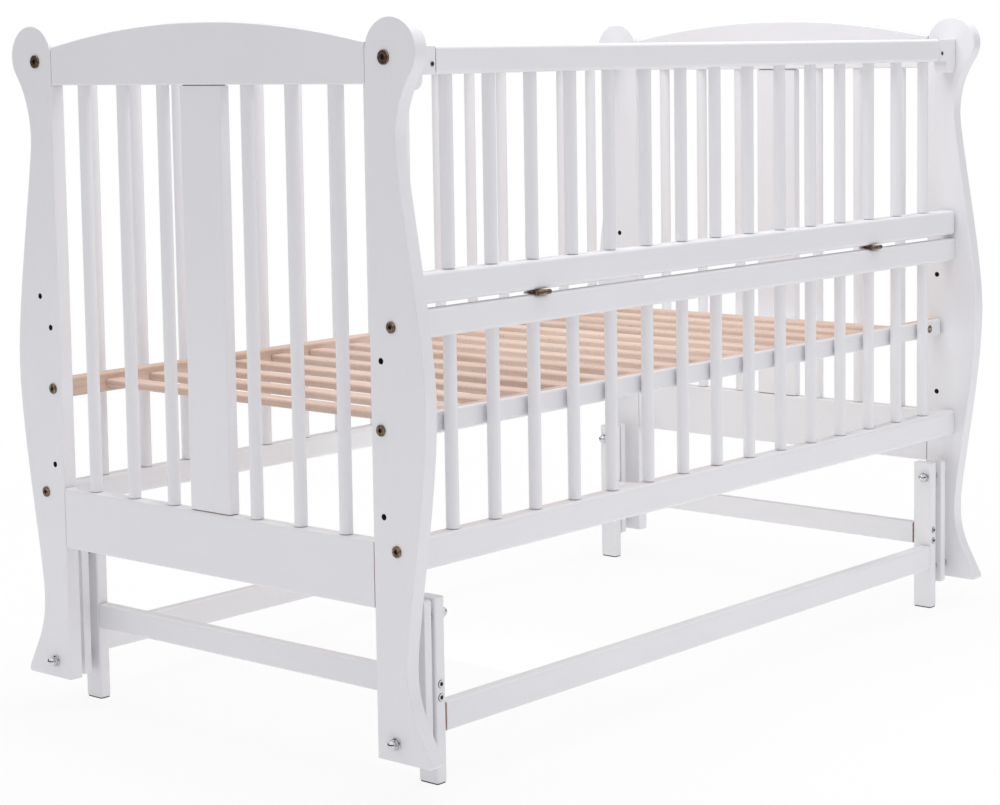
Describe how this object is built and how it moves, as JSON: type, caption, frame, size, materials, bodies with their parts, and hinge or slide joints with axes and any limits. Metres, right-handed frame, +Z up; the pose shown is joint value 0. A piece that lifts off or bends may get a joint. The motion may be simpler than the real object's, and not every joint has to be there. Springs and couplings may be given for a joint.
{
  "type": "swinging crib",
  "caption": "White wooden crib with arched end panels and S-shaped posts, slatted base, fold-down front half and a cradle that swings sideways on arms from low legs.",
  "frame": {"origin": "on the floor, at the middle of the crib", "axes": "+Z up, +X along the length to the right end, -Y to the folding front"},
  "size_m": [1.2678, 0.7256, 0.892],
  "materials": {
    "white_paint": "satin white paint",
    "beech": "natural, matt varnish",
    "bronze": "antique bronze",
    "chrome": "polished"
  },
  "bodies": {
    "stand": {"leg_front_left": "white_paint", "leg_front_right": "white_paint", "leg_back_left": "white_paint", "leg_back_right": "white_paint", "end_stretcher_left": "white_paint", "end_stretcher_right": "white_paint", "long_stretcher_front": "white_paint", "long_stretcher_back": "white_paint", "upper_pivot_front_left": "chrome", "upper_pivot_front_right": "chrome", "upper_pivot_back_left": "chrome", "upper_pivot_back_right": "chrome"},
    "front_arms": {"swing_arm_front_left": "white_paint", "swing_arm_front_right": "white_paint"},
    "back_arms": {"swing_arm_back_left": "white_paint", "swing_arm_back_right": "white_paint"},
    "cradle": {"post_front_left": "white_paint", "post_front_right": "white_paint", "post_back_left": "white_paint", "post_back_right": "white_paint", "end_top_rail_left": "white_paint", "end_top_rail_right": "white_paint", "end_bottom_rail_left": "white_paint", "end_bottom_rail_right": "white_paint", "back_top_rail": "white_paint", "back_bottom_rail": "white_paint", "front_middle_rail": "white_paint", "front_bottom_rail": "white_paint", "latch_block_left": "white_paint", "latch_block_right": "white_paint", "base_rail_front": "beech", "base_rail_back": "beech", "base_slat_1": "beech", "base_slat_2": "beech", "base_slat_3": "beech", "base_slat_4": "beech", "base_slat_5": "beech", "base_slat_6": "beech", "base_slat_7": "beech", "base_slat_8": "beech", "base_slat_9": "beech", "base_slat_10": "beech", "base_slat_11": "beech", "base_slat_12": "beech", "base_slat_13": "beech", "base_slat_14": "beech", "base_slat_15": "beech", "lower_pivot_front_left": "chrome", "lower_pivot_front_right": "chrome", "lower_pivot_back_left": "chrome", "lower_pivot_back_right": "chrome", "hinge_lower_leaf_left": "bronze", "hinge_lower_leaf_right": "bronze"},
    "folding_front": {"fold_top_rail": "white_paint", "fold_bottom_rail": "white_paint", "hinge_upper_leaf_left": "bronze", "hinge_upper_leaf_right": "bronze"},
    "latch_left": {"latch_bolt_left": "bronze"},
    "latch_right": {"latch_bolt_right": "bronze"}
  },
  "joints": [
    {"name": "swing", "type": "hinge", "parent": "stand", "child": "front_arms", "pos_m": [0, -0.3075, 0.2005], "axis": [1, 0, 0], "range_deg": [-10, 10]},
    {"name": "cradle_level", "type": "hinge", "parent": "front_arms", "child": "cradle", "pos_m": [0, -0.3075, 0.0614], "axis": [1, 0, 0], "range_deg": [-10, 10]},
    {"name": "back_swing", "type": "hinge", "parent": "stand", "child": "back_arms", "pos_m": [0, 0.3075, 0.2005], "axis": [1, 0, 0], "range_deg": [-10, 10]},
    {"name": "front_fold", "type": "hinge", "parent": "cradle", "child": "folding_front", "pos_m": [0, -0.3303, 0.56275], "axis": [1, 0, 0], "range_deg": [0, 180]},
    {"name": "latch_left_slide", "type": "slide", "parent": "folding_front", "child": "latch_left", "axis": [-1, 0, 0], "range_m": [0, 0.012]},
    {"name": "latch_right_slide", "type": "slide", "parent": "folding_front", "child": "latch_right", "axis": [1, 0, 0], "range_m": [0, 0.012]}
  ],
  "couplings": [
    {"joint": "cradle_level", "follows": "swing", "ratio": -1},
    {"joint": "back_swing", "follows": "swing", "ratio": 1}
  ]
}
